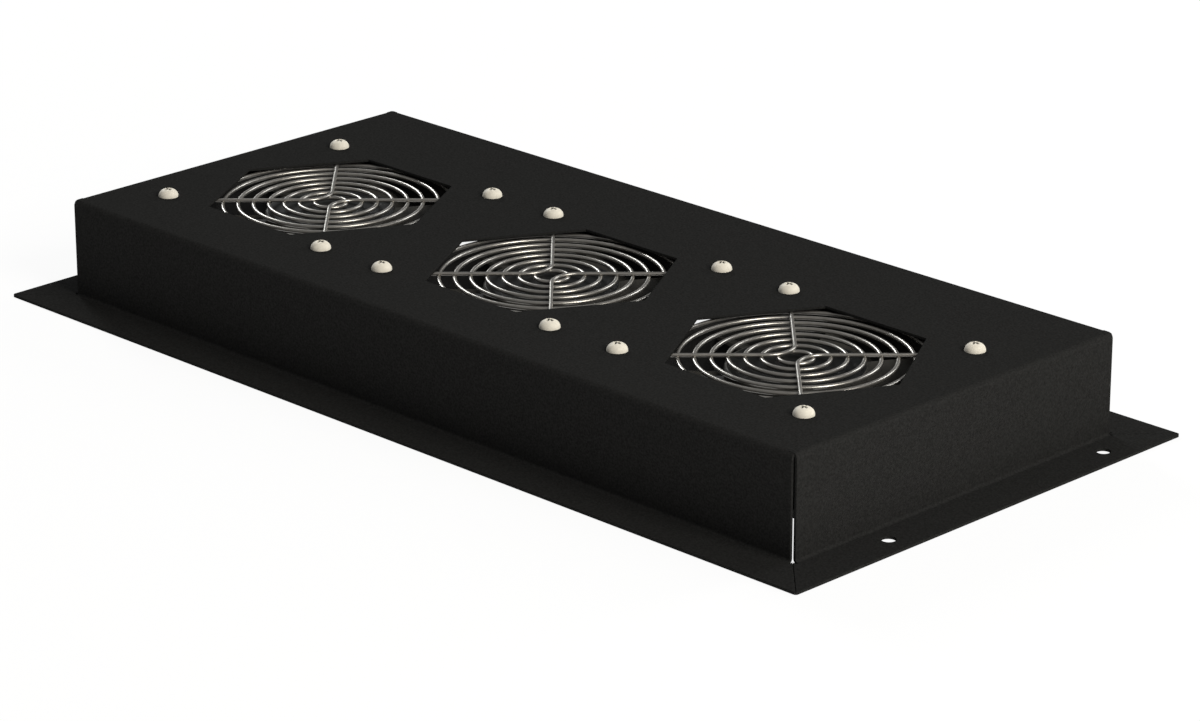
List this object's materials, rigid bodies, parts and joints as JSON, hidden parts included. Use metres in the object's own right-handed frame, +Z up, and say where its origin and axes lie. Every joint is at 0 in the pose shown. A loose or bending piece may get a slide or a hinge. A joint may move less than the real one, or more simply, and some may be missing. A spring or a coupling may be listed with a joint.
{
  "type": "rack roof fan tray",
  "caption": "Black folded steel roof tray for a rack, with hexagonal vents over a row of axial fans behind round wire finger guards.",
  "frame": {"origin": "centre of the mounting flange's underside", "axes": "+X along the tray's long side, +Y from the long side nearest the fans to the other, +Z up through the vents"},
  "size_m": [0.4906, 0.24, 0.051],
  "materials": {
    "powder_coat_black": "matt fine powder coat",
    "screw_metal": "pale zinc plate",
    "guard_wire": "bright plated",
    "cast_frame_black": "black painted casting",
    "black_plastic": "moulded, matt",
    "bright_steel": "ground",
    "drawn_steel": "drawn",
    "spring_steel": "blued spring steel",
    "lamination_steel": "stacked laminations",
    "copper_wire": "enamelled copper wire",
    "tab_tin": "tinned"
  },
  "bodies": {
    "tray": {"tray_hood": "powder_coat_black", "fan_screws": "screw_metal", "screw_nuts": "bright_steel", "finger_guard_1": "guard_wire", "fan_frame_1": "cast_frame_black", "lower_bearing_1": "bright_steel", "upper_bearing_1": "bright_steel", "stator_core_1": "lamination_steel", "stator_windings_1": "copper_wire", "terminal_block_1": "black_plastic", "terminal_tabs_1": "tab_tin", "finger_guard_2": "guard_wire", "fan_frame_2": "cast_frame_black", "lower_bearing_2": "bright_steel", "upper_bearing_2": "bright_steel", "stator_core_2": "lamination_steel", "stator_windings_2": "copper_wire", "terminal_block_2": "black_plastic", "terminal_tabs_2": "tab_tin", "finger_guard_3": "guard_wire", "fan_frame_3": "cast_frame_black", "lower_bearing_3": "bright_steel", "upper_bearing_3": "bright_steel", "stator_core_3": "lamination_steel", "stator_windings_3": "copper_wire", "terminal_block_3": "black_plastic", "terminal_tabs_3": "tab_tin"},
    "rotor_1": {"impeller_1": "black_plastic", "rotor_bell_1": "drawn_steel", "rotor_cage_1": "lamination_steel", "shaft_1": "bright_steel", "retaining_clip_1": "spring_steel", "spring_washer_1": "spring_steel"},
    "rotor_2": {"impeller_2": "black_plastic", "rotor_bell_2": "drawn_steel", "rotor_cage_2": "lamination_steel", "shaft_2": "bright_steel", "retaining_clip_2": "spring_steel", "spring_washer_2": "spring_steel"},
    "rotor_3": {"impeller_3": "black_plastic", "rotor_bell_3": "drawn_steel", "rotor_cage_3": "lamination_steel", "shaft_3": "bright_steel", "retaining_clip_3": "spring_steel", "spring_washer_3": "spring_steel"}
  },
  "joints": [
    {"name": "fan_spin_1", "type": "hinge", "parent": "tray", "child": "rotor_1", "pos_m": [-0.145, -0.012, 0.02], "axis": [0, 0, 1], "continuous": true},
    {"name": "fan_spin_2", "type": "hinge", "parent": "tray", "child": "rotor_2", "pos_m": [0, -0.012, 0.02], "axis": [0, 0, 1], "continuous": true},
    {"name": "fan_spin_3", "type": "hinge", "parent": "tray", "child": "rotor_3", "pos_m": [0.145, -0.012, 0.02], "axis": [0, 0, 1], "continuous": true}
  ]
}
